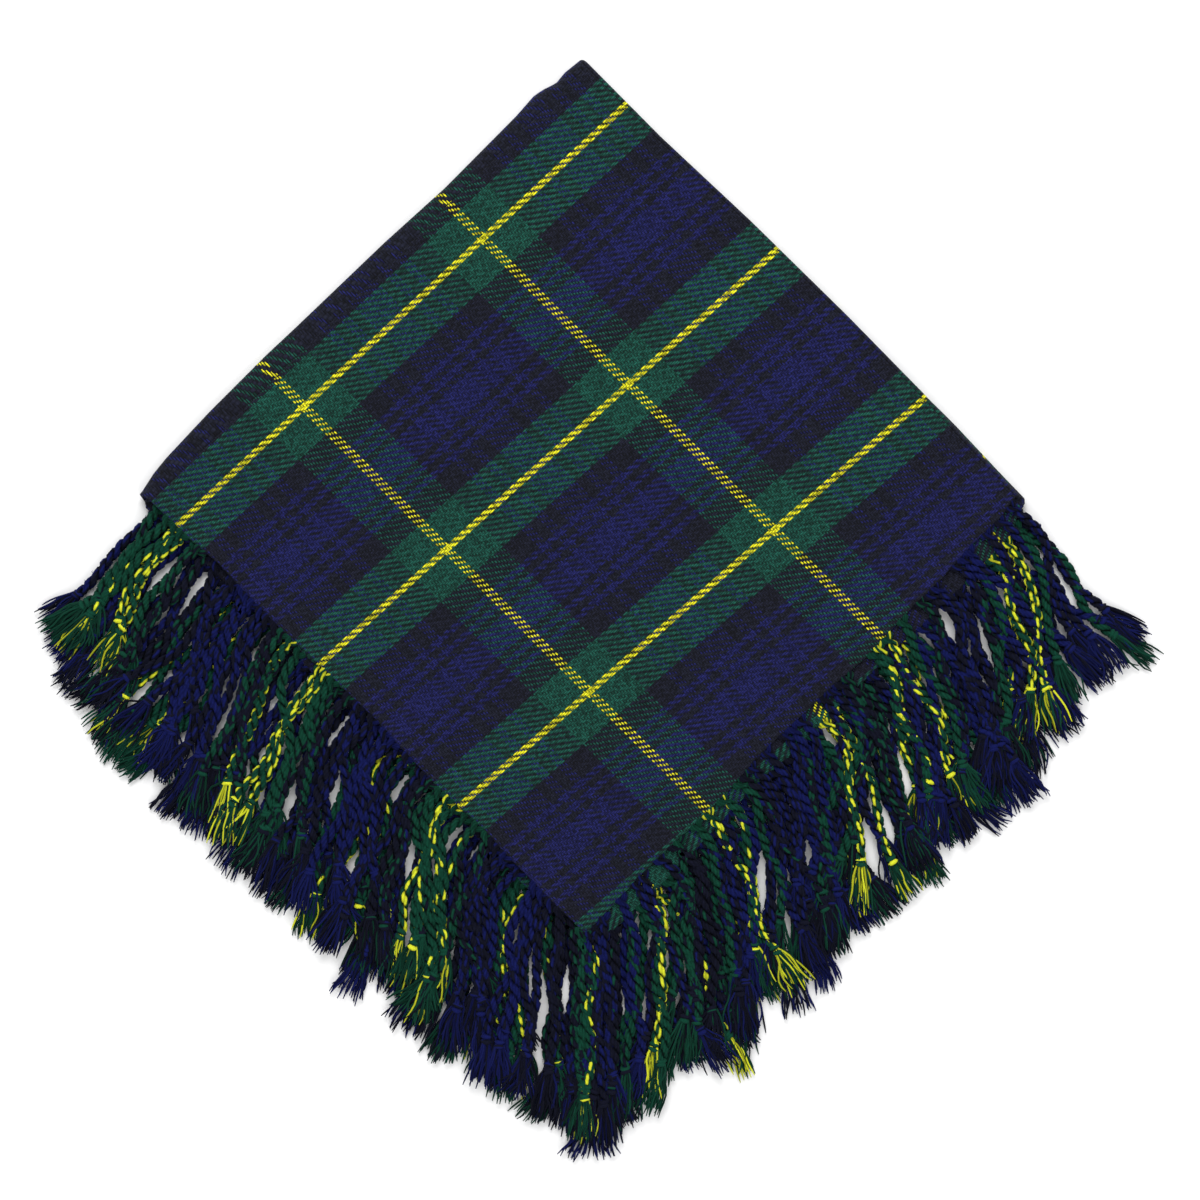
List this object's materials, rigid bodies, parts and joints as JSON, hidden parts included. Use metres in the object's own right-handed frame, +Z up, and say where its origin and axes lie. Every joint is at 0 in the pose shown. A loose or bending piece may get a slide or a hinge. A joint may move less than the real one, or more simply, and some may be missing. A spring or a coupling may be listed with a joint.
{
  "type": "folded throw blanket",
  "caption": "Square woven throw in a dark check with a twisted fringe on every edge, folded in half and in half again to lie flat; the upper half opens on the centre fold like a book.",
  "frame": {"origin": "centre of the folded square's underside", "axes": "+Z up out of the stack; +X from the centre fold towards the fringed side edges; +Y from the fringed front edges towards the side folds"},
  "size_m": [0.6309, 0.619, 0.0139],
  "materials": {
    "cloth": "brushed woollen two by two twill in navy, black and green with narrow yellow lines",
    "warp_fringe": "two-ply twists of the cloth's own warp ends, knotted and frayed at the tip",
    "weft_fringe": "two-ply twists of the cloth's own weft ends, knotted and frayed at the tip"
  },
  "bodies": {
    "lower_half": {"lower_outer_quarter": "cloth", "lower_inner_quarter": "cloth", "lower_side_fold": "cloth", "lower_outer_warp_fringe": "warp_fringe", "lower_inner_warp_fringe": "warp_fringe", "lower_outer_weft_fringe": "weft_fringe", "lower_inner_weft_fringe": "weft_fringe", "inner_centre_fold": "cloth", "outer_centre_fold": "cloth"},
    "upper_half": {"upper_inner_quarter": "cloth", "upper_outer_quarter": "cloth", "upper_side_fold": "cloth", "upper_inner_warp_fringe": "warp_fringe", "upper_outer_warp_fringe": "warp_fringe", "upper_inner_weft_fringe": "weft_fringe", "upper_outer_weft_fringe": "weft_fringe"}
  },
  "joints": [
    {"name": "centre_fold_hinge", "type": "hinge", "parent": "lower_half", "child": "upper_half", "pos_m": [-0.225, 0, 0.00695], "axis": [0, -1, 0], "range_deg": [0, 180], "deforming": ["inner_centre_fold", "outer_centre_fold"]}
  ]
}
